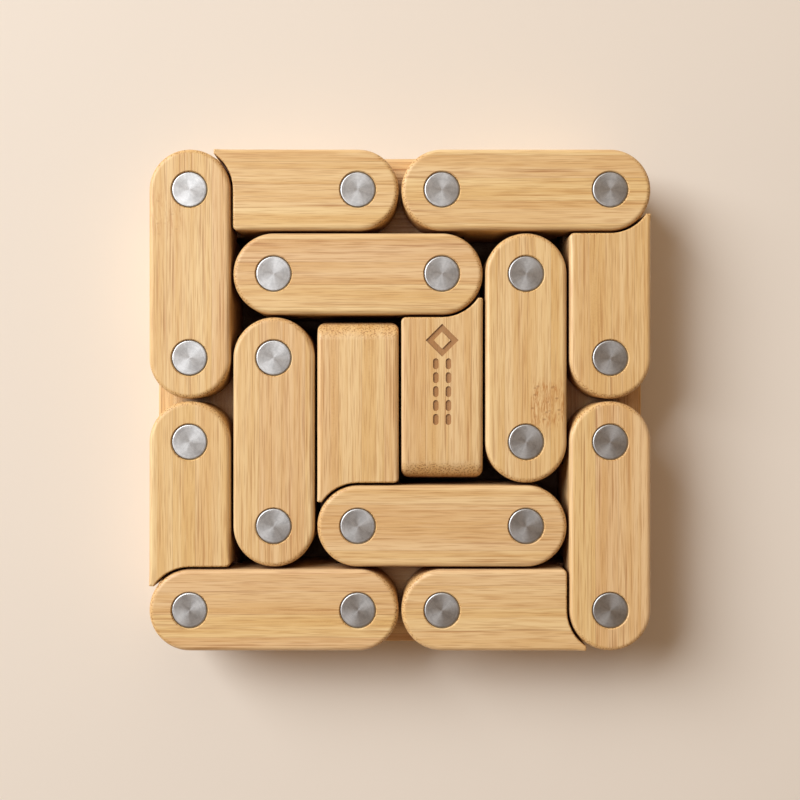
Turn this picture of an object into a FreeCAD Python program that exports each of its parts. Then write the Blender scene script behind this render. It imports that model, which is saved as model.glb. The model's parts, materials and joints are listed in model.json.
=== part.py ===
"""Articulated bamboo link puzzle, folded flat into a square block.

A closed ring of twelve pivoted links lies round six loose inner pieces. Every
link starts as a round-ended bamboo bar. At a pivot one link keeps its upper
half and its neighbour the lower half, and a two-part steel rivet joins them.
Millimetres, +Z up, origin at the centre of the underside.
"""
import FreeCAD, Part
import os

Vector = FreeCAD.Vector

# ---- driving dimensions ----------------------------------------------------
PITCH = 20.0            # square grid that every pivot sits on
CELLS = 6               # grid cells along each side of the folded block
GAP = 0.6               # clear gap between neighbouring links, seen from above
THICKNESS = 20.0        # board thickness, both levels together
LAP_GAP = 0.2           # running gap between the two halves of a lap
EDGE_ROUND = 1.0        # sanded round along the outer edges
SEAM_ROUND = 0.4        # finer round where two plates meet, and on the short links
TIP_REACH = 5.7         # the pointed tip beside a pivot stops this far along the link

FREE_END_GAP = 1.7      # gap left at the square free ends of the inner arms
FREE_END_CORNER = 2.0   # plan radius of those ends
FREE_END_ROUND = 4.6    # large round across the top edge of those ends

HEAD_DIAMETER = 8.4
HEAD_THICKNESS = 2.0
HEAD_RECESS = 0.1       # the rivet heads sit this far below the wood
HEAD_CHAMFER = 0.25
SEAT_DIAMETER = 8.8     # counterbore round a head
SHANK_DIAMETER = 6.0
STUD_DIAMETER = 3.5     # stud of the lower head, pressed up into the hollow shank
STUD_LENGTH = 6.0
STUD_END_GAP = 1.0
FIXED_CLEARANCE = 0.02      # radial, shank in the link that holds it
RUNNING_CLEARANCE = 0.05    # radial, shank in the link that turns on it
AXIAL_CLEARANCE = 0.1       # lower head to the link that turns above it

# ---- worked out from them ----------------------------------------------------
LINK_RADIUS = (PITCH - GAP) / 2
CLEAR_RADIUS = LINK_RADIUS + GAP
SPLIT = THICKNESS / 2
UPPER_FLOOR = SPLIT + LAP_GAP / 2
LOWER_CEILING = SPLIT - LAP_GAP / 2
HEAD_SEAT = HEAD_RECESS + HEAD_THICKNESS
FAR = 3 * PITCH         # beyond anything a cut has to reach
SIDES = ["top", "right", "bottom", "left"]

os.makedirs("parts", exist_ok=True)


# ---- plan geometry -------------------------------------------------------------
def cell(column, row):
    """Centre of a grid cell; column 1 is at -X and row 1 at +Y."""
    middle = (CELLS + 1) / 2
    return Vector((column - middle) * PITCH, (middle - row) * PITCH, 0)


def disc(centre, radius, low, high):
    return Part.makeCylinder(radius, high - low, Vector(centre.x, centre.y, low))


def block(corner_a, corner_b, low, high):
    """Upright box between two opposite corners given in plan."""
    corner = Vector(min(corner_a.x, corner_b.x), min(corner_a.y, corner_b.y), low)
    length = abs(corner_a.x - corner_b.x)
    width = abs(corner_a.y - corner_b.y)
    return Part.makeBox(length, width, high - low, corner)


def side_step(along):
    """Half the link's width, square to its direction."""
    return Vector(-along.y, along.x, 0) * LINK_RADIUS


def direction(start, end):
    return (end - start).normalize()


# ---- blanks ----------------------------------------------------------------------
def edges_at(solid, height):
    """Edges that lie wholly at one height."""
    found = []
    for edge in solid.Edges:
        box = edge.BoundBox
        if abs(box.ZMin - height) < 1e-6 and abs(box.ZMax - height) < 1e-6:
            found.append(edge)
    return found


def stadium(start, end, low, high, round_low, round_high):
    """Bar with a full round at both ends and softened lower and upper edges."""
    step = side_step(direction(start, end))
    body = block(start + step, end - step, low, high)
    for centre in (start, end):
        body = body.fuse(disc(centre, LINK_RADIUS, low, high))
    body = body.removeSplitter()
    body = body.makeFillet(round_low, edges_at(body, low))
    return body.makeFillet(round_high, edges_at(body, high))


def link_blank(start, end):
    return stadium(start, end, 0, THICKNESS, EDGE_ROUND, EDGE_ROUND)


def arm_blank(pivot, along, length):
    """Full-height bar with a round end at the pivot and a square free end."""
    step = side_step(along)
    end = pivot + along * length
    body = block(pivot + step, end - step, 0, THICKNESS)
    corners = [edge for edge in body.Edges if is_upright_at(edge, end, LINK_RADIUS)]
    body = body.makeFillet(FREE_END_CORNER, corners)
    body = body.fuse(disc(pivot, LINK_RADIUS, 0, THICKNESS)).removeSplitter()
    body = body.makeFillet(EDGE_ROUND, edges_at(body, 0))
    return body.makeFillet(EDGE_ROUND, edges_at(body, THICKNESS))


def is_upright_at(edge, point, reach):
    """True for a full-height edge within reach of a point, seen from above."""
    box = edge.BoundBox
    upright = box.ZLength > THICKNESS / 2
    middle = Vector(box.Center.x, box.Center.y, 0)
    return upright and (middle - point).Length < reach + 1e-3


def free_end_round(pivot, along, length):
    """Sliver removed to give the free end its large round along the top edge."""
    radius = FREE_END_ROUND
    end = pivot + along * length
    inner = end - along * radius
    step = side_step(along) * 2
    corner = block(inner + step, end + along - step, THICKNESS - radius, THICKNESS + 1)
    axis_start = inner - step
    barrel = Part.makeCylinder(radius, 2 * step.Length,
                               Vector(axis_start.x, axis_start.y, THICKNESS - radius), step)
    return corner.cut(barrel)


# ---- laps --------------------------------------------------------------------------
def lap_cut(pivot, along, fold_side, low, high):
    """Wood removed at a pivot so the neighbour can lie and turn there.

    along points from the pivot into the link. The neighbour turns inside the
    clear radius; the side tips stop at TIP_REACH. When the neighbour is folded
    to a right angle it lies along fold_side, where the cut runs straight.
    """
    step = side_step(along) * 1.5
    beyond = pivot - along * FAR
    cut = disc(pivot, CLEAR_RADIUS, low, high)
    cut = cut.fuse(block(beyond + step, pivot + along * TIP_REACH - step, low, high))
    if fold_side:
        near = pivot + along * CLEAR_RADIUS
        cut = cut.fuse(block(near, beyond + fold_side * CLEAR_RADIUS * 1.5, low, high))
    return cut


def keep_upper(link, pivot, along, fold_side=None):
    return link.cut(lap_cut(pivot, along, fold_side, -1, UPPER_FLOOR))


def keep_lower(link, pivot, along, fold_side=None):
    return link.cut(lap_cut(pivot, along, fold_side, LOWER_CEILING, THICKNESS + 1))


# ---- bores ----------------------------------------------------------------------------
def bore(solid, pivot, clearance, axial=0.0):
    """Shank hole right through, with a head seat in the top and in the underside."""
    hole = disc(pivot, SHANK_DIAMETER / 2 + clearance, -1, THICKNESS + 1)
    top_seat = disc(pivot, SEAT_DIAMETER / 2, THICKNESS - HEAD_SEAT, THICKNESS + 1)
    low_seat = disc(pivot, SEAT_DIAMETER / 2, -1, HEAD_SEAT + axial)
    return solid.cut(hole.fuse(top_seat).fuse(low_seat))


def bore_held(solid, *pivots):
    """Bores in the link that the rivet is fixed in."""
    for pivot in pivots:
        solid = bore(solid, pivot, FIXED_CLEARANCE)
    return solid


def bore_turning(solid, *pivots):
    """Bores in the link that turns on the rivet."""
    for pivot in pivots:
        solid = bore(solid, pivot, RUNNING_CLEARANCE, AXIAL_CLEARANCE)
    return solid


# ---- rivets ------------------------------------------------------------------------------
def head(pivot, low, high, rim):
    """Rivet head with its outer rim chamfered."""
    solid = disc(pivot, HEAD_DIAMETER / 2, low, high)
    return solid.makeChamfer(HEAD_CHAMFER, edges_at(solid, rim))


def rivet_barrel(pivot):
    """Flush upper head and hollow shank."""
    top = THICKNESS - HEAD_RECESS
    shank = disc(pivot, SHANK_DIAMETER / 2, HEAD_SEAT, THICKNESS - HEAD_SEAT)
    hollow = disc(pivot, STUD_DIAMETER / 2, HEAD_SEAT, HEAD_SEAT + STUD_LENGTH + STUD_END_GAP)
    return head(pivot, THICKNESS - HEAD_SEAT, top, top).fuse(shank).cut(hollow)


def rivet_cap(pivot):
    """Flush lower head with a stud pressed up into the barrel."""
    stud = disc(pivot, STUD_DIAMETER / 2, HEAD_SEAT, HEAD_SEAT + STUD_LENGTH)
    return head(pivot, HEAD_RECESS, HEAD_SEAT, HEAD_RECESS).fuse(stud)


def rivet_set(*pivots):
    """Upper and lower rivet halves for one link."""
    barrels = Part.makeCompound([rivet_barrel(pivot) for pivot in pivots])
    caps = Part.makeCompound([rivet_cap(pivot) for pivot in pivots])
    return barrels, caps


# ---- the ring, drawn once for the top side ---------------------------------------------------
RIGHT = Vector(1, 0, 0)
LEFT = Vector(-1, 0, 0)
DOWN = Vector(0, -1, 0)


def step_link():
    """Lower tongue at the corner pivot, upper tongue at the mid-side pivot."""
    corner, middle = cell(1, 1), cell(3, 1)
    link = link_blank(corner, middle)
    link = keep_lower(link, corner, RIGHT, DOWN)
    link = keep_upper(link, middle, LEFT)
    return bore_held(bore_turning(link, corner), middle)


def long_link():
    """Upper level over both of its pivots, full height between them."""
    middle, corner = cell(4, 1), cell(6, 1)
    link = link_blank(middle, corner)
    link = keep_upper(link, middle, RIGHT)
    link = keep_upper(link, corner, LEFT, DOWN)
    return bore_held(link, middle, corner)


def short_link():
    """Lower level only, joining two links across the middle of a side."""
    start, end = cell(3, 1), cell(4, 1)
    link = stadium(start, end, 0, LOWER_CEILING, EDGE_ROUND, SEAM_ROUND)
    return bore_turning(link, start, end)


# ---- the inner pieces ---------------------------------------------------------------------------
def pair_link():
    """Long half of a hinged pair: upper level over the pivot, full height elsewhere."""
    far_end, pivot = cell(2, 2), cell(4, 2)
    link = link_blank(far_end, pivot)
    link = keep_upper(link, pivot, LEFT, DOWN)
    return bore_held(link, far_end, pivot)


def pair_arm():
    """Arm of a hinged pair: lower tongue at the pivot, square free end."""
    pivot = cell(4, 2)
    # the free end stops short of the link that closes the nest below it
    length = 3 * PITCH - LINK_RADIUS - FREE_END_GAP
    link = arm_blank(pivot, DOWN, length)
    link = link.cut(free_end_round(pivot, DOWN, length))
    link = keep_lower(link, pivot, DOWN, LEFT)
    return bore_turning(link, pivot)


def bar_plates():
    """Upper and lower plate of a loose inner bar, riveted face to face."""
    start, end = cell(5, 2), cell(5, 4)
    upper = stadium(start, end, SPLIT, THICKNESS, SEAM_ROUND, EDGE_ROUND)
    lower = stadium(start, end, 0, SPLIT, EDGE_ROUND, SEAM_ROUND)
    return bore_held(upper, start, end), bore_held(lower, start, end)


# ---- placing and writing -----------------------------------------------------------------------------
def turned(shape, quarter_turns):
    """Copy turned clockwise about the middle of the block."""
    copy = shape.copy()
    copy.rotate(Vector(0, 0, 0), Vector(0, 0, 1), -90 * quarter_turns)
    return copy


def write(name, shape):
    shape.exportStep("parts/" + name + ".step")


def write_ring():
    step_rivets = rivet_set(cell(3, 1))
    long_rivets = rivet_set(cell(4, 1), cell(6, 1))
    shapes = {
        "ring_step_link": step_link(),
        "ring_long_link": long_link(),
        "ring_short_link": short_link(),
        "rivet_barrels_step_link": step_rivets[0],
        "rivet_caps_step_link": step_rivets[1],
        "rivet_barrels_long_link": long_rivets[0],
        "rivet_caps_long_link": long_rivets[1],
    }
    for quarter_turns, side in enumerate(SIDES):
        for name, shape in shapes.items():
            write(name + "_" + side, turned(shape, quarter_turns))


def write_inner():
    barrels, caps = rivet_set(cell(2, 2), cell(4, 2))
    for quarter_turns in (0, 2):
        side = SIDES[quarter_turns]
        write("pair_link_" + side, turned(pair_link(), quarter_turns))
        write("pair_arm_" + side, turned(pair_arm(), quarter_turns))
        write("rivet_barrels_pair_" + side, turned(barrels, quarter_turns))
        write("rivet_caps_pair_" + side, turned(caps, quarter_turns))
    upper, lower = bar_plates()
    barrels, caps = rivet_set(cell(5, 2), cell(5, 4))
    for quarter_turns in (0, 2):
        side = SIDES[quarter_turns + 1]
        write("bar_upper_plate_" + side, turned(upper, quarter_turns))
        write("bar_lower_plate_" + side, turned(lower, quarter_turns))
        write("rivet_barrels_bar_" + side, turned(barrels, quarter_turns))
        write("rivet_caps_bar_" + side, turned(caps, quarter_turns))


write_ring()
write_inner()
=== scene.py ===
"""Looks for the articulated bamboo link puzzle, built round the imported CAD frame.

Every wooden link and every rivet half is a finer mesh that stands for its CAD node. The main sizes
are read from the frame, and the finish values are named below. Link meshes are drawn along their
own length, in millimetres, then placed.
"""
import json
import math

import bmesh
import bpy
from mathutils import Matrix, Vector

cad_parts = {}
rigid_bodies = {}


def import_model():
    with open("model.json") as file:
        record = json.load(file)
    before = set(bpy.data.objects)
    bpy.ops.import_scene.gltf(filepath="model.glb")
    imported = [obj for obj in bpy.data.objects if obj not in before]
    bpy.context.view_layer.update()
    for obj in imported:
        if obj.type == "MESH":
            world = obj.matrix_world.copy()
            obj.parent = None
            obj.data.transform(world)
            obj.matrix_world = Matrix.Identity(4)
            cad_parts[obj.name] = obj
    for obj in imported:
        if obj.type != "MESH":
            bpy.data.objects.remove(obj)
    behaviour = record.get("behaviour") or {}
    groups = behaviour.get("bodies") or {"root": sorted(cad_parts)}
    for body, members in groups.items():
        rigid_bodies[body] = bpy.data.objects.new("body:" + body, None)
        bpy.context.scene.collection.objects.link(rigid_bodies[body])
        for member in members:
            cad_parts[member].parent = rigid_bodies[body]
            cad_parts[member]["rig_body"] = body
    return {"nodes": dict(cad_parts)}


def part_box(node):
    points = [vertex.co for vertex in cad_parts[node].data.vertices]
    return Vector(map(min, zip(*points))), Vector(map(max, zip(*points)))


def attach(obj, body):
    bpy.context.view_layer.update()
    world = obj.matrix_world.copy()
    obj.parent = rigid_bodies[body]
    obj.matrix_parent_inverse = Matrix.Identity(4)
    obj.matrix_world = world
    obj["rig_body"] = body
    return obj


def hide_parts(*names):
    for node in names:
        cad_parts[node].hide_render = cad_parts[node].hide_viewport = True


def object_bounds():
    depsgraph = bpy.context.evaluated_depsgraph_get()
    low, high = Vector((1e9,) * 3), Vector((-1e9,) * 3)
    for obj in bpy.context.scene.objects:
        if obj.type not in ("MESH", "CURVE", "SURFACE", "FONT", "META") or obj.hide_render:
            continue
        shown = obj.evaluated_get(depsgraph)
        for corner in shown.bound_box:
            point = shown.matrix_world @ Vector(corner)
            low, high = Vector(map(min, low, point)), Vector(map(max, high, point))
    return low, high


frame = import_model()
cad_low, cad_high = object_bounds()

MM = 0.001


def size_mm(node):
    low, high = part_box(node)
    return (high - low) / MM


def level_mm(node):
    """Lowest and highest level of a node."""
    low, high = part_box(node)
    return low.z / MM, high.z / MM


# ---- sizes read from the frame, in millimetres ---------------------------------------------
short_size = size_mm("ring_short_link_top")
THICK = size_mm("ring_long_link_top").z
WIDTH = short_size.y
PITCH = short_size.x - WIDTH
RADIUS = WIDTH / 2
CLEAR = PITCH - RADIUS              # radius a neighbour's round end needs to turn
LOWER_TOP = short_size.z
UPPER_FLOOR = THICK - LOWER_TOP
SPLIT = THICK / 2
ARM_LENGTH = size_mm("pair_arm_top").y - RADIUS
HEAD_RADIUS = size_mm("rivet_barrels_step_link_top").x / 2
SHANK_LOW, HEAD_TOP = level_mm("rivet_barrels_step_link_top")
CAP_LOW, STUD_TOP = level_mm("rivet_caps_step_link_top")
SEAT_DEPTH = SHANK_LOW              # both heads sit on a floor this far inside the wood
CELLS = 6

# ---- finish, in millimetres ----------------------------------------------------------------
ROUND = 1.15            # sanded round along the long edges
SEAM_ROUND = 0.4        # finer round where two plates meet, and on top of the short links
CUT_ROUND = 0.35        # round on the edges of a lap cut
TIP_REACH = 5.7         # the pointed tip beside a pivot stops this far along the link
TIP_SOFT = 0.45         # softening of the tip's point
TIP_EASE = (4.0, 2.0)   # the edge round fades between these distances behind the tip
FOLD_SOFT = 1.3         # softening of the cut's corner on the side the link folds to
FOLD_EASE = (2.2, 4.2)  # the edge round comes back between these distances behind that corner
EASED = 0.8             # share of the edge round left where it starts to fade
FOLD_ROUND = 1.6        # the fold corner's edge is this many times rounder than the cut's
FREE_ROUND = 4.6        # large round across the top of a square free end
FREE_CORNER = 2.0       # plan radius of that end
FREE_FOOT = 1.15        # the round's influence ends this many rounds below the top
FREE_REACH = 1.03       # the round's curve is this much longer than the round itself
SEAT_RADIUS = HEAD_RADIUS + 0.09
SEAT_CHAMFER = 0.26
SHANK_RADIUS = 3.0
SHANK_EDGE = 0.12
STUD_RADIUS = 1.75
STUD_EDGE = 0.1
STUD_END_GAP = 1.0
HELD_GAP = 0.02         # radial gap of a shank in the link that holds it
TURNING_GAP = 0.05      # and in the link that turns on it
AXIAL_GAP = 0.1
HEAD_ROUND = 0.34       # the rim of a head is rolled over this far in
HEAD_DROP = 0.24        # and this far down
ARC_STEPS = 26
ROUND_STEPS = 6
CIRCLE_STEPS = 72
FLAT_RIM = 0.12         # flat strip that keeps the shading true beside a rounded edge
WORN_DEPTH = (0.05, 0.9)    # levels below a face that handling polishes
FLOOR_GAP = 0.00005     # metres from the underside to the floor

# ---- engraved motif, in millimetres along and across the arm --------------------------
MOTIF_DEPTH = 0.31
LOZENGE_X = 15.8
LOZENGE_HALF = 3.9
LOZENGE_HOLE = 2.0
BAR_START = 21.4
BAR_STEP = 3.3
BAR_COUNT = 5
BAR_SIZE = (2.6, 1.3)
BAR_ROW = 1.5           # each row of bars lies this far from the arm's middle line


# ---- link ends, drawn outward along +x from the pivot, from -y round to +y -----------------
def arc(radius, start, end, steps):
    """Points on a circle about the pivot, angles in degrees."""
    points = []
    for i in range(steps + 1):
        angle = math.radians(start + (end - start) * i / steps)
        points.append((radius * math.cos(angle), radius * math.sin(angle)))
    return points


def soft_corner(before, corner, after, reach, steps=5):
    """Curve that rounds the corner between two straight runs."""
    corner = Vector(corner)
    start = corner + (Vector(before) - corner).normalized() * reach
    end = corner + (Vector(after) - corner).normalized() * reach
    points = []
    for i in range(steps + 1):
        t = i / steps
        points.append(tuple(start * (1 - t) ** 2 + corner * 2 * t * (1 - t) + end * t ** 2))
    return points


def tag(points, softness):
    return [(x, y, softness) for x, y in points]


def mirrored(points):
    return [(x, -y, s) for x, y, s in reversed(points)]


def round_end():
    return tag(arc(RADIUS, -90, 90, ARC_STEPS * 2), ROUND)


def cut_end(fold):
    """End that clears a neighbour's round end; fold is the side it folds to (+1, -1) or 0."""
    if fold < 0:
        return mirrored(cut_end(1))
    half = math.acos(TIP_REACH / CLEAR)
    tip_y = CLEAR * math.sin(half)
    half = math.degrees(half)
    far, near = TIP_EASE
    tip = [(-TIP_REACH - far, -RADIUS, ROUND), (-TIP_REACH - near, -RADIUS, ROUND * EASED)]
    tip += tag(soft_corner((-TIP_REACH - near, -RADIUS), (-TIP_REACH, -RADIUS), (-TIP_REACH, -tip_y),
                           TIP_SOFT), CUT_ROUND)
    if fold == 0:
        return tip + tag(arc(CLEAR, 180 + half, 180 - half, ARC_STEPS), CUT_ROUND) + mirrored(tip)
    near, far = FOLD_EASE
    corner = soft_corner((-CLEAR, 0), (-CLEAR, RADIUS), (-CLEAR - far, RADIUS), FOLD_SOFT)
    points = tip + tag(arc(CLEAR, 180 + half, 180, ARC_STEPS), CUT_ROUND)
    points += tag(corner, CUT_ROUND * FOLD_ROUND)
    return points + [(-CLEAR - near, RADIUS, ROUND * EASED), (-CLEAR - far, RADIUS, ROUND)]


def square_end():
    """Square free end at x = 0, with rounded plan corners."""
    side = RADIUS - FREE_CORNER
    low = [(x - FREE_CORNER, y - side) for x, y in arc(FREE_CORNER, -90, 0, 8)]
    high = [(x - FREE_CORNER, y + side) for x, y in arc(FREE_CORNER, 0, 90, 8)]
    return tag(low + high, ROUND)


def end_path(kind, fold, level):
    """Path of one end at one level. kind says which level reaches over the pivot."""
    if kind == "square":
        return square_end()
    if kind in ("full", level):
        return round_end()
    return cut_end(fold)


def blended(points):
    """Spreads the softness evenly along a closed outline."""
    for _ in range(3):
        count = len(points)
        points = [(x, y, (points[i - 1][2] + 2 * s + points[(i + 1) % count][2]) / 4)
                  for i, (x, y, s) in enumerate(points)]
    return points


def outline(length, left, right):
    """Closed anticlockwise outline from the paths of its two ends."""
    points = [(length + x, y, s) for x, y, s in right]
    points += [(-x, -y, s) for x, y, s in left]
    return blended(points)


def inward(points):
    """Unit vectors pointing into an anticlockwise outline at each point."""
    normals = []
    count = len(points)
    for i in range(count):
        here = Vector(points[i][:2])
        before = (here - Vector(points[i - 1][:2])).normalized()
        after = (Vector(points[(i + 1) % count][:2]) - here).normalized()
        along = (before + after).normalized()
        normals.append(Vector((-along.y, along.x)))
    return normals


# ---- mesh building -------------------------------------------------------------------------
class Builder:
    """Collects faces in millimetres and merges their shared corners."""

    def __init__(self):
        self.bm = bmesh.new()
        self.verts = {}

    def vert(self, point):
        key = tuple(round(value, 4) for value in point)
        if key not in self.verts:
            self.verts[key] = self.bm.verts.new(key)
        return self.verts[key]

    def face(self, corners):
        """One face; corners that coincide are merged and slivers are left out."""
        loop = []
        for corner in corners:
            vert = self.vert(corner)
            if not loop or vert is not loop[-1]:
                loop.append(vert)
        if len(loop) > 1 and loop[0] is loop[-1]:
            loop.pop()
        if len(loop) >= 3:
            self.bm.faces.new(loop)

    def strip(self, upper, lower, closed=True):
        """Quads between two runs with the same number of points."""
        count = len(upper)
        for i in range(count if closed else count - 1):
            j = (i + 1) % count
            self.face([lower[i], lower[j], upper[j], upper[i]])

    def fill(self, rings):
        """Flat face inside the first ring and outside the others."""
        edges = []
        for ring in rings:
            verts = [self.vert(point) for point in ring]
            for vert, after in zip(verts, verts[1:] + verts[:1]):
                edges.append(self.bm.edges.get((vert, after)) or self.bm.edges.new((vert, after)))
        bmesh.ops.triangle_fill(self.bm, use_beauty=True, use_dissolve=False, edges=edges)


def circle(centre, radius, z):
    points = []
    for i in range(CIRCLE_STEPS):
        angle = 2 * math.pi * i / CIRCLE_STEPS
        points.append((centre + radius * math.cos(angle), radius * math.sin(angle), z))
    return points


def lathe(build, centre, profile):
    """Turned surface through (radius, z) pairs about an upright axis; returns its rings."""
    rings = [circle(centre, radius, z) for radius, z in profile]
    for upper, lower in zip(rings, rings[1:]):
        build.strip(upper, lower)
    return rings


def rounded_rim(build, points, face_z, up):
    """Round from the wall to a level face, up = 1 or -1. Returns the wall ring and face ring."""
    normals = inward(points)
    rings = []
    for step in range(ROUND_STEPS + 1):
        angle = math.pi / 2 * step / ROUND_STEPS
        ring = []
        for (x, y, soft), normal in zip(points, normals):
            inset = soft * (1 - math.cos(angle))
            drop = soft * (1 - math.sin(angle))
            ring.append((x + normal.x * inset, y + normal.y * inset, face_z - up * drop))
        rings.append(ring)
    rings.append([(x + normal.x * (soft + FLAT_RIM), y + normal.y * (soft + FLAT_RIM), face_z)
                  for (x, y, soft), normal in zip(points, normals)])
    for lower, upper in zip(rings, rings[1:]):
        build.strip(upper, lower)
    return rings[0], rings[-1]


def seat(face_z, up, depth):
    """Counterbore in from a face to the floor under a rivet head, as (radius, z) pairs."""
    floor = face_z - up * depth
    return [(SEAT_RADIUS + SEAT_CHAMFER + FLAT_RIM, face_z), (SEAT_RADIUS + SEAT_CHAMFER, face_z),
            (SEAT_RADIUS, face_z - up * SEAT_CHAMFER), (SEAT_RADIUS, floor)]


def bore(build, centre, top, low, gap):
    """Bore between two levels, with a head seat where it opens in the block's top or underside."""
    radius = SHANK_RADIUS + gap
    low_depth = SEAT_DEPTH + (AXIAL_GAP if gap == TURNING_GAP else 0)
    profile = seat(top, 1, SEAT_DEPTH) if top == THICK else []
    profile.append((radius, top - SEAT_DEPTH if profile else top))
    if low == 0:
        profile.append((radius, low_depth))
        profile += list(reversed(seat(0, -1, low_depth)))
    else:
        profile.append((radius, low))
    rings = lathe(build, centre, profile)
    return rings[0], rings[-1]


def at_level(points, z):
    return [(point[0], point[1], z) for point in points]


def split_wall(build, kind, upper, lower):
    """Walls of one end from its (path, rim ring) at each level.

    Where a lap is cut it returns the step face's outline, and the points at the step that the
    side faces share with this end, at its start and at its finish. A plain end returns None.
    """
    (upper_path, upper_rim), (lower_path, lower_rim) = upper, lower
    if kind in ("full", "square"):
        build.strip(upper_rim, lower_rim, closed=False)
        return None
    step = UPPER_FLOOR if kind == "upper" else LOWER_TOP
    build.strip(upper_rim, at_level(upper_path, step), closed=False)
    build.strip(at_level(lower_path, step), lower_rim, closed=False)
    tongue, cut = (upper_path, lower_path) if kind == "upper" else (lower_path, upper_path)
    on_first = [point for point in cut if abs(point[1] - cut[0][1]) < 1e-6]
    on_last = [point for point in cut if abs(point[1] - cut[-1][1]) < 1e-6]
    inner = cut[len(on_first) - 1:len(cut) - len(on_last) + 1]
    return {"first": at_level(on_first + [tongue[0]], step),
            "last": at_level([tongue[-1]] + on_last, step),
            "ring": at_level(list(tongue) + list(reversed(inner)), step)}


def order_corner(kind, end):
    """Middle points of the side faces where this end starts and ends, each from low to high."""
    if not end:
        return [], []
    if kind == "lower":
        return list(reversed(end["first"])), end["last"]
    return end["first"], list(reversed(end["last"]))


def link_mesh(length, left, right, bores, pockets=()):
    """Two-level link from x = 0 to length. Ends are (kind, fold side); bores are (x, kind)."""
    build = Builder()
    kinds = {"left": left[0], "right": right[0]}
    levels = {}
    for level, face_z, up in (("upper", THICK, 1), ("lower", 0, -1)):
        right_path = end_path(right[0], right[1], level)
        points = outline(length, end_path(left[0], -left[1], level), right_path)
        rim, flat = rounded_rim(build, points, face_z, up)
        cut = len(right_path)
        levels[level] = {"right": (points[:cut], rim[:cut]), "left": (points[cut:], rim[cut:]),
                         "flat": flat}
    upper, lower = levels["upper"], levels["lower"]
    ends = {name: split_wall(build, kinds[name], upper[name], lower[name]) for name in kinds}

    right_first, right_last = order_corner(kinds["right"], ends["right"])
    left_first, left_last = order_corner(kinds["left"], ends["left"])
    upper_right, upper_left = upper["right"][1], upper["left"][1]
    lower_right, lower_left = lower["right"][1], lower["left"][1]
    build.face([lower_left[-1], lower_right[0]] + right_first
               + [upper_right[0], upper_left[-1]] + list(reversed(left_last)))
    build.face([lower_right[-1], lower_left[0]] + left_first
               + [upper_left[0], upper_right[-1]] + list(reversed(right_last)))

    holes = {"top": [pocket(build, shape) for shape in pockets], "low": [], "left": [], "right": []}
    for x, kind in bores:
        near = "left" if x < length / 2 else "right"
        top, top_face = (LOWER_TOP, near) if kind == "lower" else (THICK, "top")
        low, low_face = (UPPER_FLOOR, near) if kind == "upper" else (0, "low")
        gap = TURNING_GAP if kind == "lower" else HELD_GAP
        top_hole, low_hole = bore(build, x, top, low, gap)
        holes[top_face].append(top_hole)
        holes[low_face].append(low_hole)
    build.fill([upper["flat"]] + holes["top"])
    build.fill([lower["flat"]] + holes["low"])
    for name, end in ends.items():
        if end:
            build.fill([end["ring"]] + holes[name])
    return build.bm


def plate_mesh(length, low, high, low_round, high_round):
    """Single-level round-ended plate with a bore at each end."""
    build = Builder()
    rims = []
    for face_z, up, softness in ((high, 1, high_round), (low, -1, low_round)):
        path = [(x, y, softness) for x, y, s in round_end()]
        rims.append(rounded_rim(build, outline(length, path, path), face_z, up))
    build.strip(rims[0][0], rims[1][0])
    gap = TURNING_GAP if high == LOWER_TOP else HELD_GAP
    holes = [bore(build, x, high, low, gap) for x in (0, length)]
    build.fill([rims[0][1]] + [hole[0] for hole in holes])
    build.fill([rims[1][1]] + [hole[1] for hole in holes])
    return build.bm


# ---- engraved motif: a lozenge and plain bars ----------------------------------------------
def lozenge(x, y, half):
    return [(x + half, y), (x, y + half), (x - half, y), (x, y - half)]


def slot_shape(x, y, length, width):
    """Round-ended groove along x."""
    points = []
    for sign in (1, -1):
        for i in range(9):
            angle = math.radians(-90 + 22.5 * i)
            across = math.sin(angle) * width / 2 * sign
            along = (length - width) / 2 + math.cos(angle) * width / 2
            points.append((x + along * sign, y + across))
    return points


def pocket(build, shape):
    """Shallow flat-bottomed pocket in the top face; shape is (outer loop, island loop or None)."""
    outer, island = shape
    floor_z = THICK - MOTIF_DEPTH
    rim = [(x, y, THICK) for x, y in outer]
    floor = [(x, y, floor_z) for x, y in outer]
    build.strip(rim, floor)
    rings = [floor]
    if island:
        island_top = [(x, y, THICK) for x, y in island]
        island_foot = [(x, y, floor_z) for x, y in island]
        build.strip(island_top, island_foot)
        build.fill([island_top])
        rings.append(island_foot)
    build.fill(rings)
    return rim


def motif():
    """Lozenge ring with a lozenge inside it, then two rows of plain bars along the arm."""
    shapes = [(lozenge(LOZENGE_X, 0, LOZENGE_HALF), lozenge(LOZENGE_X, 0, LOZENGE_HOLE))]
    for i in range(BAR_COUNT):
        for row in (-BAR_ROW, BAR_ROW):
            shapes.append((slot_shape(BAR_START + BAR_STEP * i, row, *BAR_SIZE), None))
    return shapes


# ---- square free end -----------------------------------------------------------------------
def round_free_end(bm, end_x):
    """Bends the top edge of a square free end down into one large round."""
    start = end_x - FREE_ROUND
    steps = 9
    for i in range(steps):
        x = start + FREE_ROUND * math.sin(math.pi / 2 * i / steps)
        geometry = bm.verts[:] + bm.edges[:] + bm.faces[:]
        bmesh.ops.bisect_plane(bm, geom=geometry, plane_co=(x, 0, 0), plane_no=(1, 0, 0), dist=1e-5)
    foot = THICK - FREE_ROUND * FREE_FOOT
    for vert in bm.verts:
        beyond = vert.co.x - start
        if beyond <= 0 or vert.co.z <= foot:
            continue
        share = min(beyond / (FREE_ROUND * FREE_REACH), 1)
        drop = FREE_ROUND * (1 - math.sqrt(1 - share * share))
        vert.co.z -= drop * (vert.co.z - foot) / (THICK - foot)


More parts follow.
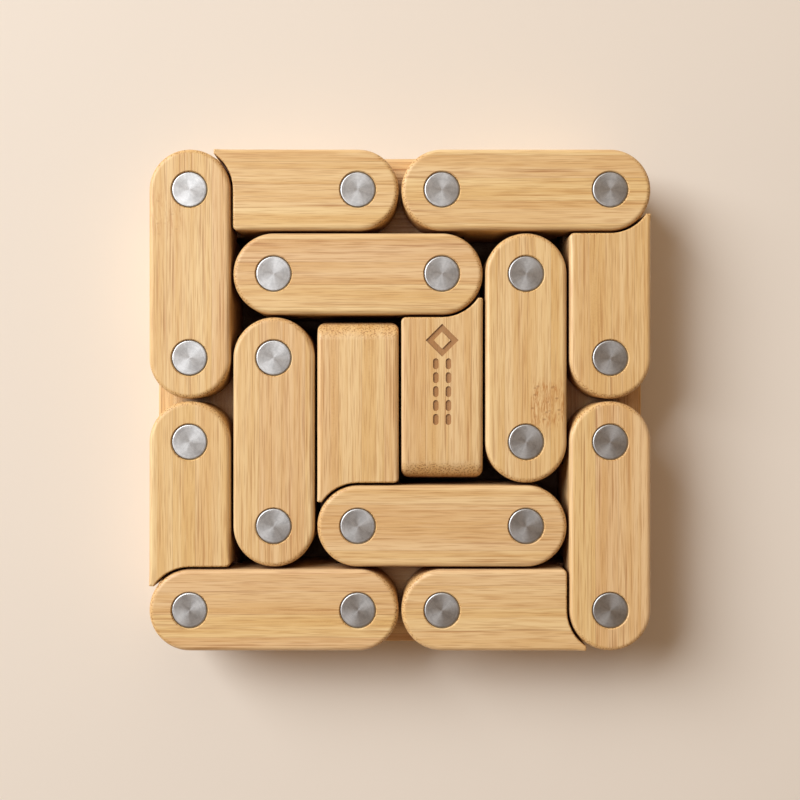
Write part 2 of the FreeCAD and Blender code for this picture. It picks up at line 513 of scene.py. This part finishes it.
# ---- finished objects ----------------------------------------------------------------------
def cell(column, row):
    """Centre of a grid cell in millimetres; column 1 is at -X and row 1 at +Y."""
    middle = (CELLS + 1) / 2
    return Vector(((column - middle) * PITCH, (middle - row) * PITCH, 0))


def quarter(point, turns):
    """A plan point or direction turned clockwise about the middle of the block."""
    for _ in range(turns):
        point = Vector((point.y, -point.x, 0))
    return point


def place(start, direction):
    """Matrix from link millimetres to metres in the frame."""
    angle = math.atan2(direction.y, direction.x)
    return (Matrix.Translation(start * MM) @ Matrix.Rotation(angle, 4, "Z")
            @ Matrix.Scale(MM, 4))


def is_engraved(mesh, face):
    """True for the walls and floor of a motif pocket."""
    levels = [mesh.vertices[i].co.z for i in face.vertices]
    return all(any(abs(z - level) < 1e-3 for level in (THICK, THICK - MOTIF_DEPTH)) for z in levels) \
        and min(levels) < THICK - MOTIF_DEPTH / 2


def is_edge_round(z):
    """True on the rounds beside the top face and the underside, which handling wears most."""
    depth = min(abs(THICK - z), abs(z))
    return WORN_DEPTH[0] < depth < WORN_DEPTH[1]


def add_attribute(mesh, name, kind, domain, values):
    """Adds an attribute and fills it at once, because adding another can move it in memory."""
    data = mesh.attributes.new(name, kind, domain).data
    field = "vector" if kind == "FLOAT_VECTOR" else "value"
    for item, value in zip(data, values):
        setattr(item, field, value)


def finish_wood(name, node, bm, matrix, direction, seed):
    """Mesh object for one wooden piece, carrying its own grain coordinates."""
    bmesh.ops.recalc_face_normals(bm, faces=bm.faces[:])
    mesh = bpy.data.meshes.new(name)
    bm.to_mesh(mesh)
    bm.free()
    shift = Vector((seed * 97.3, seed * 41.7, seed * 29.1))
    mark_x, mark_y, strength = JOINT_MARKS.get(node, NO_MARK)
    points = [vert.co.copy() for vert in mesh.vertices]
    grain = [point + shift for point in points]
    marks = [(point.x - mark_x, point.y - mark_y, strength) for point in points]
    worn = [1.0 if is_edge_round(point.z) else 0.0 for point in points]
    burn = [1.0 if is_engraved(mesh, face) else 0.0 for face in mesh.polygons]
    add_attribute(mesh, "grain", "FLOAT_VECTOR", "POINT", grain)
    add_attribute(mesh, "along", "FLOAT_VECTOR", "POINT", [direction] * len(points))
    add_attribute(mesh, "mark", "FLOAT_VECTOR", "POINT", marks)
    add_attribute(mesh, "worn", "FLOAT", "POINT", worn)
    add_attribute(mesh, "burn", "FLOAT", "FACE", burn)
    mesh.transform(matrix)
    mesh.polygons.foreach_set("use_smooth", [True] * len(mesh.polygons))
    mesh.set_sharp_from_angle(angle=math.radians(32))
    return finish(name, node, mesh, bamboo)


def finish(name, node, mesh, material):
    piece = bpy.data.objects.new(name, mesh)
    bpy.context.scene.collection.objects.link(piece)
    mesh.materials.append(material)
    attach(piece, frame["nodes"][node]["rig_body"])
    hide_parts(node)
    return piece


# ---- materials -----------------------------------------------------------------------------
class Nodes:
    """Small helper for wiring a node tree."""

    def __init__(self, name):
        self.material = bpy.data.materials.new(name)
        self.material.use_nodes = True
        self.tree = self.material.node_tree
        self.surface = self.tree.nodes["Principled BSDF"]

    def add(self, kind, inputs=None, **settings):
        node = self.tree.nodes.new(kind)
        for key, value in settings.items():
            setattr(node, key, value)
        for key, value in (inputs or {}).items():
            self.put(node, key, value)
        return node

    def put(self, node, key, value):
        if isinstance(value, bpy.types.NodeSocket):
            self.tree.links.new(value, node.inputs[key])
        else:
            node.inputs[key].default_value = value

    def math(self, operation, a, b=0.0, c=0.0):
        node = self.add("ShaderNodeMath", operation=operation)
        for i, value in enumerate((a, b, c)):
            self.put(node, i, value)
        return node.outputs[0]

    def scaled(self, vector, scale):
        return self.add("ShaderNodeVectorMath", {0: vector, 1: scale}, operation="MULTIPLY").outputs[0]

    def noise(self, vector, scale, detail=2.0, rough=0.5):
        inputs = {"Vector": vector, "Scale": scale, "Detail": detail, "Roughness": rough}
        return self.add("ShaderNodeTexNoise", inputs).outputs["Fac"]

    def dots(self, vector, reach, core):
        """1 at scattered points, fading to 0 between the core and the reach round each."""
        cells = self.add("ShaderNodeTexVoronoi", {"Vector": vector, "Scale": 1.0, "Randomness": 1.0})
        return self.ramp(cells.outputs["Distance"], reach, core)

    def ramp(self, value, low, high, smooth=True):
        """Maps low..high to 0..1 and holds it there."""
        kind = "SMOOTHSTEP" if smooth else "LINEAR"
        node = self.add("ShaderNodeMapRange", {"Value": value, "From Min": low, "From Max": high},
                        interpolation_type=kind)
        return node.outputs[0]

    def mix(self, factor, a, b, blend="MIX"):
        node = self.add("ShaderNodeMix", data_type="RGBA", blend_type=blend)
        self.put(node, 0, factor)
        self.put(node, 6, a)
        self.put(node, 7, b)
        return node.outputs[2]

    def attribute(self, name, output="Vector"):
        return self.add("ShaderNodeAttribute", attribute_name=name).outputs[output]


def rgb(red, green, blue):
    """Linear colour from 0-255 display values."""
    def linear(value):
        value /= 255
        return value / 12.92 if value <= 0.04045 else ((value + 0.055) / 1.055) ** 2.4
    return (linear(red), linear(green), linear(blue), 1.0)


STRIP = 5.4             # width of one bamboo strip in the laminated board, mm
MARK_LENGTH = 11.0      # a joint of the culm marks one strip over this length and width
MARK_WIDTH = 8.2
# (along, across, strength) on the few links that show one, in link millimetres
JOINT_MARKS = {"bar_upper_plate_right": (31.0, 5.1, 1.0), "ring_long_link_left": (34.5, 5.4, 0.4)}
NO_MARK = (-500.0, 0.0, 0.0)


def bamboo_material():
    """Side-laminated bamboo: strips, fibre bundles, joint marks, dotted end grain, worn edges."""
    n = Nodes("laminated_bamboo")
    grain = n.attribute("grain")
    x, y, z = n.add("ShaderNodeSeparateXYZ", {0: grain}).outputs

    # strips, each with its own tone and its own shift along the grain
    wander = n.noise(n.scaled(grain, (0.02, 0.0, 0.05)), 1.0, 1.0)
    strip = n.math("DIVIDE", n.math("ADD", y, n.math("MULTIPLY", wander, 0.5)), STRIP)
    inside = n.math("FRACT", strip)
    tone = n.add("ShaderNodeTexWhiteNoise", {"W": n.math("FLOOR", strip)},
                 noise_dimensions="1D").outputs["Value"]
    shifted_x = n.math("ADD", x, n.math("MULTIPLY", tone, 611.0))
    local = n.add("ShaderNodeCombineXYZ", {0: shifted_x, 1: y, 2: z}).outputs[0]

    # soft bands, then streaks and fibre bundles that show as dashes along the grain
    broad = n.noise(n.scaled(local, (0.012, 0.4, 0.4)), 1.0, 2.0, 0.5)
    streak = n.noise(n.scaled(local, (0.03, 1.9, 1.9)), 1.0, 3.0, 0.65)
    fine = n.noise(n.scaled(local, (0.12, 4.0, 4.0)), 1.0, 2.0, 0.6)
    long_fibre = n.dots(n.scaled(local, (0.034, 1.5, 1.5)), 0.42, 0.14)
    short_fibre = n.dots(n.scaled(local, (0.11, 2.5, 2.5)), 0.44, 0.16)
    dense = n.ramp(n.noise(n.scaled(local, (0.012, 0.5, 0.5)), 1.0, 1.0), 0.32, 0.66)
    long_fibre = n.math("MULTIPLY", long_fibre, dense)

    pale, honey = rgb(246, 217, 166), rgb(232, 194, 134)
    colour = n.mix(n.ramp(broad, 0.3, 0.7), pale, honey)
    colour = n.mix(n.math("MULTIPLY", n.ramp(streak, 0.5, 0.72), 0.44), colour, rgb(206, 154, 88))
    colour = n.mix(n.math("MULTIPLY", n.ramp(fine, 0.5, 0.7), 0.34), colour, rgb(192, 134, 72))
    colour = n.mix(n.math("MULTIPLY", n.ramp(fine, 0.46, 0.3), 0.3), colour, rgb(250, 222, 178))
    colour = n.mix(n.math("MULTIPLY", long_fibre, 0.6), colour, rgb(172, 112, 56))
    colour = n.mix(n.math("MULTIPLY", short_fibre, 0.32), colour, rgb(176, 120, 62))
    # strips run from rosy to straw-coloured
    hue = n.mix(tone, rgb(247, 240, 240), rgb(255, 255, 246))
    colour = n.mix(1.0, colour, hue, "MULTIPLY")

    # glue lines between strips
    edge = n.math("MINIMUM", inside, n.math("SUBTRACT", 1.0, inside))
    glue = n.ramp(n.math("MULTIPLY", edge, STRIP), 0.11, 0.02)
    colour = n.mix(n.math("MULTIPLY", glue, 0.25), colour, rgb(150, 102, 56))

    # joint of the bamboo culm: one strip turns mottled, with faint dark ticks
    mark_x, mark_y, strength = n.add("ShaderNodeSeparateXYZ", {0: n.attribute("mark")}).outputs
    ragged = n.noise(n.scaled(grain, (0.5, 1.6, 1.6)), 1.0, 3.0, 0.6)
    along_mark = n.math("ADD", n.math("ABSOLUTE", mark_x), n.math("MULTIPLY", ragged, 5.0))
    half_length = MARK_LENGTH / 2 + 2.5
    joint = n.math("MULTIPLY", n.ramp(along_mark, half_length + 1.5, half_length - 2.0),
                   n.ramp(n.math("ABSOLUTE", mark_y), MARK_WIDTH / 2, MARK_WIDTH / 2 - 0.25))
    joint = n.math("MULTIPLY", joint, strength)
    bent = n.add("ShaderNodeTexNoise", {"Vector": n.scaled(grain, (0.2, 1.5, 1.5)), "Scale": 1.0,
                                        "Detail": 3.0, "Roughness": 0.7, "Distortion": 1.6})
    tick = n.dots(n.scaled(grain, (0.85, 0.5, 0.5)), 0.3, 0.1)
    colour = n.mix(n.math("MULTIPLY", joint, n.ramp(bent.outputs["Fac"], 0.42, 0.66)), colour,
                   rgb(196, 138, 74))
    colour = n.mix(n.math("MULTIPLY", n.math("MULTIPLY", joint, tick), 0.5), colour,
                   rgb(150, 94, 44))

    # handling polishes the rounds paler
    worn = n.ramp(n.attribute("worn", "Fac"), 0.1, 0.9)
    colour = n.mix(n.math("MULTIPLY", worn, 0.22), colour, rgb(250, 224, 182))

    # end grain: cut fibre bundles show as dots, and the cut wood drinks more finish
    along = n.add("ShaderNodeVectorTransform", {0: n.attribute("along")}, vector_type="VECTOR",
                  convert_from="OBJECT", convert_to="WORLD").outputs[0]
    normal = n.add("ShaderNodeNewGeometry").outputs["Normal"]
    facing = n.math("ABSOLUTE", n.add("ShaderNodeVectorMath", {0: along, 1: normal},
                                      operation="DOT_PRODUCT").outputs["Value"])
    uneven = n.math("MULTIPLY", n.math("SUBTRACT", broad, 0.5), 0.5)
    cut_across = n.ramp(n.math("ADD", facing, uneven), 0.02, 0.5)
    dark_dots = n.dots(n.scaled(grain, (2.1, 2.2, 2.2)), 0.5, 0.2)
    light_dots = n.dots(n.scaled(grain, (2.3, 2.5, 2.5)), 0.48, 0.2)
    colour = n.mix(n.math("MULTIPLY", cut_across, 0.4), colour, rgb(218, 167, 92))
    colour = n.mix(n.math("MULTIPLY", n.math("MULTIPLY", cut_across, light_dots), 0.6), colour,
                   rgb(246, 212, 146))
    colour = n.mix(n.math("MULTIPLY", n.math("MULTIPLY", cut_across, dark_dots), 0.75), colour,
                   rgb(150, 92, 36))

    # painted shade: the colour goes dark brown where neighbouring pieces close in, standing in for the
    # shade deep in the narrow gaps
    gap_shade_ao = n.add("ShaderNodeAmbientOcclusion", {"Distance": 0.007}, samples=6).outputs["AO"]
    # painted shade, dark brown in the gaps between pieces
    colour = n.mix(n.ramp(gap_shade_ao, 0.45, 0.06), colour, rgb(104, 48, 24))
    burn = n.attribute("burn", "Fac")
    colour = n.mix(n.math("MULTIPLY", burn, 0.74), colour, rgb(150, 92, 34))

    n.put(n.surface, "Base Color", colour)
    rough = n.math("ADD", 0.36, n.math("MULTIPLY", streak, 0.16))
    rough = n.math("ADD", rough, n.math("MULTIPLY", cut_across, 0.12))
    n.put(n.surface, "Roughness", n.math("SUBTRACT", rough, n.math("MULTIPLY", worn, 0.06)))
    n.put(n.surface, "Specular IOR Level", 0.55)
    height = n.math("SUBTRACT", n.math("MULTIPLY", fine, 0.35), n.math("MULTIPLY", long_fibre, 0.6))
    height = n.math("SUBTRACT", height, n.math("MULTIPLY", short_fibre, 0.3))
    pits = n.math("MULTIPLY", dark_dots, cut_across)
    height = n.math("SUBTRACT", height, n.math("MULTIPLY", pits, 0.7))
    height = n.math("SUBTRACT", height, n.math("MULTIPLY", glue, 0.5))
    bump = n.add("ShaderNodeBump", {"Height": height, "Distance": 0.00006, "Strength": 0.6})
    n.put(n.surface, "Normal", bump.outputs[0])
    return n.material


def steel_material():
    """Turned steel: fine rings about each rivet's axis, dark radial spokes painted in as a painted
    reflection of its uneven radial glints, and dull handled patches.
    """
    n = Nodes("turned_steel")
    spot = n.attribute("spot")
    x, y, z = n.add("ShaderNodeSeparateXYZ", {0: spot}).outputs
    flat = n.add("ShaderNodeCombineXYZ", {0: x, 1: y}).outputs[0]
    radius = n.add("ShaderNodeVectorMath", {0: flat}, operation="LENGTH").outputs["Value"]
    angle = n.math("ARCTAN2", y, x)
    rings = n.add("ShaderNodeTexNoise", {"W": radius, "Scale": 7.0, "Detail": 4.0, "Roughness": 0.75},
                  noise_dimensions="1D").outputs["Fac"]
    # painted reflection: noise round each axis makes dark spokes that stand in for the uneven radial
    # glints
    spokes = n.add("ShaderNodeCombineXYZ", {0: n.math("COSINE", angle), 1: n.math("SINE", angle),
                                            2: n.math("MULTIPLY", radius, 0.25)}).outputs[0]
    seed = n.add("ShaderNodeObjectInfo").outputs["Random"]
    spokes = n.add("ShaderNodeVectorMath", {0: spokes, 1: n.math("MULTIPLY", seed, 40.0)},
                   operation="ADD").outputs[0]
    painted_glint_spokes = n.noise(spokes, 2.2, 3.0, 0.6)
    patches = n.noise(n.add("ShaderNodeVectorMath", {0: spot, 1: n.math("MULTIPLY", seed, 90.0)},
                            operation="ADD").outputs[0], 1.5, 4.0, 0.7)
    around = n.add("ShaderNodeVectorMath", {0: spot, 1: (0, 0, 1)}, operation="CROSS_PRODUCT").outputs[0]
    tangent = n.add("ShaderNodeVectorTransform", {0: around}, vector_type="VECTOR",
                    convert_from="OBJECT", convert_to="WORLD").outputs[0]
    colour = n.mix(n.ramp(rings, 0.35, 0.65), rgb(170, 172, 175), rgb(204, 206, 208))
    # painted reflection, darker spokes in the steel colour
    colour = n.mix(n.math("MULTIPLY", n.ramp(painted_glint_spokes, 0.4, 0.65), 0.4), colour, rgb(144, 146, 148))
    colour = n.mix(n.math("MULTIPLY", n.ramp(patches, 0.48, 0.7), 0.2), colour, rgb(216, 215, 213))
    n.put(n.surface, "Base Color", colour)
    n.put(n.surface, "Metallic", 1.0)
    rough = n.math("ADD", 0.34, n.math("MULTIPLY", rings, 0.08))
    n.put(n.surface, "Roughness", n.math("ADD", rough, n.math("MULTIPLY", patches, 0.1)))
    n.put(n.surface, "Anisotropic", 0.48)
    n.put(n.surface, "Tangent", tangent)
    height = n.math("ADD", rings, n.math("MULTIPLY", patches, 0.8))
    bump = n.add("ShaderNodeBump", {"Height": height, "Distance": 0.00003, "Strength": 0.4})
    n.put(n.surface, "Normal", bump.outputs[0])
    return n.material


def floor_material():
    """Plain pale floor with painted shade: it turns near black only inside the gaps it closes from
    below, standing in for the shade there.
    """
    n = Nodes("pale_floor")
    # painted shade: the ambient-occlusion mask turns the floor dark brown inside the closed gaps
    closed = n.add("ShaderNodeAmbientOcclusion", {"Distance": 0.02}, samples=6).outputs["AO"]
    pale, painted_gap_shade = rgb(238, 231, 221), rgb(58, 26, 14)
    n.put(n.surface, "Base Color", n.mix(n.ramp(closed, 0.32, 0.06), pale, painted_gap_shade))
    n.put(n.surface, "Roughness", 0.8)
    n.put(n.surface, "Specular IOR Level", 0.12)
    return n.material


bamboo = bamboo_material()
steel = steel_material()


# ---- wooden pieces -------------------------------------------------------------------------
RIGHT = Vector((1, 0, 0))
DOWN = Vector((0, -1, 0))
SIDES = ["top", "right", "bottom", "left"]


def wood(node, start, direction, turns, bm, seed):
    """Places a link mesh drawn for the top side, turned clockwise to its own side."""
    start, direction = quarter(start, turns), quarter(direction, turns)
    return finish_wood("wood_" + node, node, bm, place(start, direction), direction, seed)


def ring_wood(turns, side):
    span = 2 * PITCH
    step = link_mesh(span, ("lower", -1), ("upper", 0), [(0, "lower"), (span, "upper")])
    wood("ring_step_link_" + side, cell(1, 1), RIGHT, turns, step, 3 * turns + 1)
    long = link_mesh(span, ("upper", 0), ("upper", -1), [(0, "upper"), (span, "upper")])
    wood("ring_long_link_" + side, cell(4, 1), RIGHT, turns, long, 3 * turns + 2)
    short = plate_mesh(PITCH, 0, LOWER_TOP, ROUND, SEAM_ROUND)
    wood("ring_short_link_" + side, cell(3, 1), RIGHT, turns, short, 3 * turns + 3)


def inner_wood(turns):
    span = 2 * PITCH
    side, bar_side = SIDES[turns], SIDES[turns + 1]
    link = link_mesh(span, ("full", 0), ("upper", -1), [(0, "through"), (span, "upper")])
    wood("pair_link_" + side, cell(2, 2), RIGHT, turns, link, 20 + turns)
    pockets = motif() if side == "top" else ()
    arm = link_mesh(ARM_LENGTH, ("lower", -1), ("square", 0), [(0, "lower")], pockets)
    round_free_end(arm, ARM_LENGTH)
    wood("pair_arm_" + side, cell(4, 2), DOWN, turns, arm, 30 + turns)
    upper = plate_mesh(span, SPLIT, THICK, SEAM_ROUND, ROUND)
    lower = plate_mesh(span, 0, SPLIT, ROUND, SEAM_ROUND)
    wood("bar_upper_plate_" + bar_side, cell(5, 2), DOWN, turns, upper, 40 + turns)
    wood("bar_lower_plate_" + bar_side, cell(5, 2), DOWN, turns, lower, 50 + turns)


for turns, side in enumerate(SIDES):
    ring_wood(turns, side)
for turns in (0, 2):
    inner_wood(turns)


# ---- rivets --------------------------------------------------------------------------------
def head_rim(face_z, up):
    """Rolled rim of a rivet head from its flat face to its edge; up = 1 or -1."""
    points = [(0, face_z), (HEAD_RADIUS - HEAD_ROUND - 0.1, face_z)]
    for step in range(5):
        angle = math.pi / 2 * step / 4
        radius = HEAD_RADIUS - HEAD_ROUND * (1 - math.sin(angle))
        points.append((radius, face_z - up * HEAD_DROP * (1 - math.cos(angle))))
    return points


def barrel_profile():
    under = THICK - SEAT_DEPTH
    hollow_top = STUD_TOP + STUD_END_GAP
    return head_rim(HEAD_TOP, 1) + [
        (HEAD_RADIUS, under), (SHANK_RADIUS, under), (SHANK_RADIUS, SHANK_LOW + SHANK_EDGE),
        (SHANK_RADIUS - SHANK_EDGE, SHANK_LOW), (STUD_RADIUS, SHANK_LOW), (STUD_RADIUS, hollow_top),
        (0, hollow_top)]


def cap_profile():
    return head_rim(CAP_LOW, -1) + [
        (HEAD_RADIUS, SEAT_DEPTH), (STUD_RADIUS, SEAT_DEPTH), (STUD_RADIUS, STUD_TOP - STUD_EDGE),
        (STUD_RADIUS - STUD_EDGE, STUD_TOP), (0, STUD_TOP)]


def rivets(node, pivots, profile):
    """One piece for a node's rivet halves, each turned about its own pivot."""
    name = "turned_" + node
    mesh = bpy.data.meshes.new(name)
    whole = bmesh.new()
    spots = whole.verts.layers.float_vector.new("spot")
    for pivot in pivots:
        build = Builder()
        lathe(build, 0, profile)
        bmesh.ops.recalc_face_normals(build.bm, faces=build.bm.faces[:])
        fresh = {}
        for vert in build.bm.verts:
            made = whole.verts.new((vert.co + pivot) * MM)
            made[spots] = vert.co
            fresh[vert] = made
        for face in build.bm.faces:
            whole.faces.new([fresh[vert] for vert in face.verts])
        build.bm.free()
    whole.to_mesh(mesh)
    whole.free()
    mesh.polygons.foreach_set("use_smooth", [True] * len(mesh.polygons))
    mesh.set_sharp_from_angle(angle=math.radians(25))
    return finish(name, node, mesh, steel)


def rivet_pair(suffix, pivots, turns):
    pivots = [quarter(pivot, turns) for pivot in pivots]
    rivets("rivet_barrels_" + suffix, pivots, barrel_profile())
    rivets("rivet_caps_" + suffix, pivots, cap_profile())


for turns, side in enumerate(SIDES):
    rivet_pair("step_link_" + side, [cell(3, 1)], turns)
    rivet_pair("long_link_" + side, [cell(4, 1), cell(6, 1)], turns)
for turns in (0, 2):
    rivet_pair("pair_" + SIDES[turns], [cell(2, 2), cell(4, 2)], turns)
    rivet_pair("bar_" + SIDES[turns + 1], [cell(5, 2), cell(5, 4)], turns)


# ---- floor, light and camera ---------------------------------------------------------------
def make_floor():
    """One wide triangle, so no seam crosses the view."""
    mesh = bpy.data.meshes.new("floor")
    mesh.from_pydata([(-8, -5, 0), (8, -5, 0), (0, 9, 0)], [], [(0, 1, 2)])
    mesh.materials.append(floor_material())
    floor = bpy.data.objects.new("floor", mesh)
    floor.location.z = cad_low.z - FLOOR_GAP
    bpy.context.scene.collection.objects.link(floor)


def area_light(name, place_at, size, watts, colour):
    light = bpy.data.lights.new(name, "AREA")
    light.shape = "RECTANGLE"
    light.size, light.size_y = size
    light.energy = watts
    light.color = colour
    lamp = bpy.data.objects.new(name, light)
    lamp.location = place_at
    lamp.rotation_euler = (-Vector(place_at)).to_track_quat("-Z", "Y").to_euler()
    bpy.context.scene.collection.objects.link(lamp)
    return lamp


def make_world():
    """Dim warm light from all round; the camera itself sees a plain pale backdrop."""
    world = bpy.data.worlds.new("studio")
    world.use_nodes = True
    tree = world.node_tree
    ambient = tree.nodes["Background"]
    ambient.inputs["Color"].default_value = (1.0, 0.64, 0.38, 1)
    ambient.inputs["Strength"].default_value = 0.225
    backdrop = tree.nodes.new("ShaderNodeBackground")
    backdrop.inputs["Color"].default_value = rgb(226, 214, 198)
    chosen = tree.nodes.new("ShaderNodeMixShader")
    seen = tree.nodes.new("ShaderNodeLightPath").outputs["Is Camera Ray"]
    tree.links.new(seen, chosen.inputs[0])
    tree.links.new(ambient.outputs[0], chosen.inputs[1])
    tree.links.new(backdrop.outputs[0], chosen.inputs[2])
    tree.links.new(chosen.outputs[0], tree.nodes["World Output"].inputs["Surface"])
    bpy.context.scene.world = world


CAMERA_HEIGHT = 0.24        # above the top face
CAMERA_LENS = 45.5


def make_camera():
    data = bpy.data.cameras.new("camera")
    data.lens = CAMERA_LENS
    data.sensor_width = 36
    data.clip_start = 0.01
    camera = bpy.data.objects.new("camera", data)
    camera.location = (0, 0, cad_high.z + CAMERA_HEIGHT)
    bpy.context.scene.collection.objects.link(camera)
    bpy.context.scene.camera = camera


make_floor()
make_world()
area_light("key", (-1.16, 0.71, 1.10), (1.1, 1.1), 35.5, (0.985, 0.99, 0.99))
area_light("fill", (0.05, 0.60, 0.60), (0.6, 0.6), 0.7, (1.0, 0.86, 0.7))
card = area_light("card", (-0.38, 0.10, 0.80), (0.45, 0.9), 1.25, (1.0, 1.0, 1.0))
card.visible_diffuse = False    # a reflector that only the steel picks up
make_camera()
bpy.context.scene.view_settings.view_transform = "Standard"
